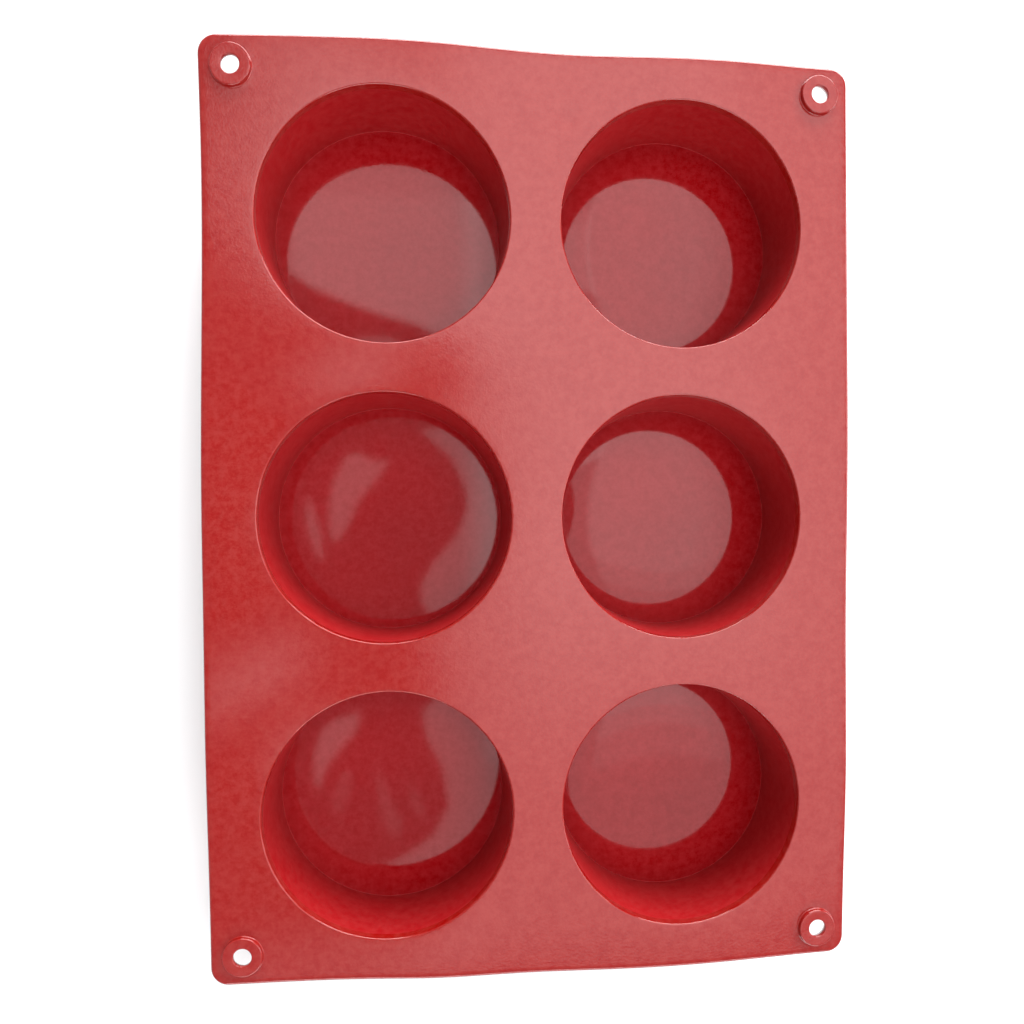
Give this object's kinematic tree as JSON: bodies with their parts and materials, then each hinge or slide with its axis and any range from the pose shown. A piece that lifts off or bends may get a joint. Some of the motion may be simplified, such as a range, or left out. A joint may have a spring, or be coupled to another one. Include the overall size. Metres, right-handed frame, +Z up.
{
  "type": "silicone soap mould",
  "caption": "Flexible silicone soap mould: a thin deck with rows of round flat-bottomed cavities, folding up along the webs between its rows, with a ring eyelet at each corner.",
  "frame": {"origin": "under the centre of the mould, on the surface that its cup floors stand on", "axes": "+X across the two columns, +Y along the three rows towards the back row, +Z up out of the cavities"},
  "size_m": [0.1836, 0.261, 0.0284],
  "materials": {
    "silicone": "smooth semi-gloss moulded silicone rubber, deep red, slightly translucent"
  },
  "bodies": {
    "back_row": {"deck_panel_back": "silicone", "cup_wall_back_left": "silicone", "cup_wall_back_right": "silicone", "cup_floor_back_left": "silicone", "cup_floor_back_right": "silicone", "eyelet_back_left": "silicone", "eyelet_back_right": "silicone"},
    "middle_row": {"deck_panel_middle": "silicone", "cup_wall_middle_left": "silicone", "cup_wall_middle_right": "silicone", "cup_floor_middle_left": "silicone", "cup_floor_middle_right": "silicone", "fold_web_back": "silicone", "fold_web_front": "silicone"},
    "front_row": {"deck_panel_front": "silicone", "cup_wall_front_left": "silicone", "cup_wall_front_right": "silicone", "cup_floor_front_left": "silicone", "cup_floor_front_right": "silicone", "eyelet_front_left": "silicone", "eyelet_front_right": "silicone"}
  },
  "joints": [
    {"name": "back_row_fold", "type": "hinge", "parent": "middle_row", "child": "back_row", "pos_m": [0, 0.04185, 0.026], "axis": [1, 0, 0], "range_deg": [0, 90], "stiffness_Nm_per_rad": 0.015, "deforming": ["fold_web_back"]},
    {"name": "front_row_fold", "type": "hinge", "parent": "middle_row", "child": "front_row", "pos_m": [0, -0.04185, 0.026], "axis": [-1, 0, 0], "range_deg": [0, 90], "stiffness_Nm_per_rad": 0.015, "deforming": ["fold_web_front"]}
  ]
}
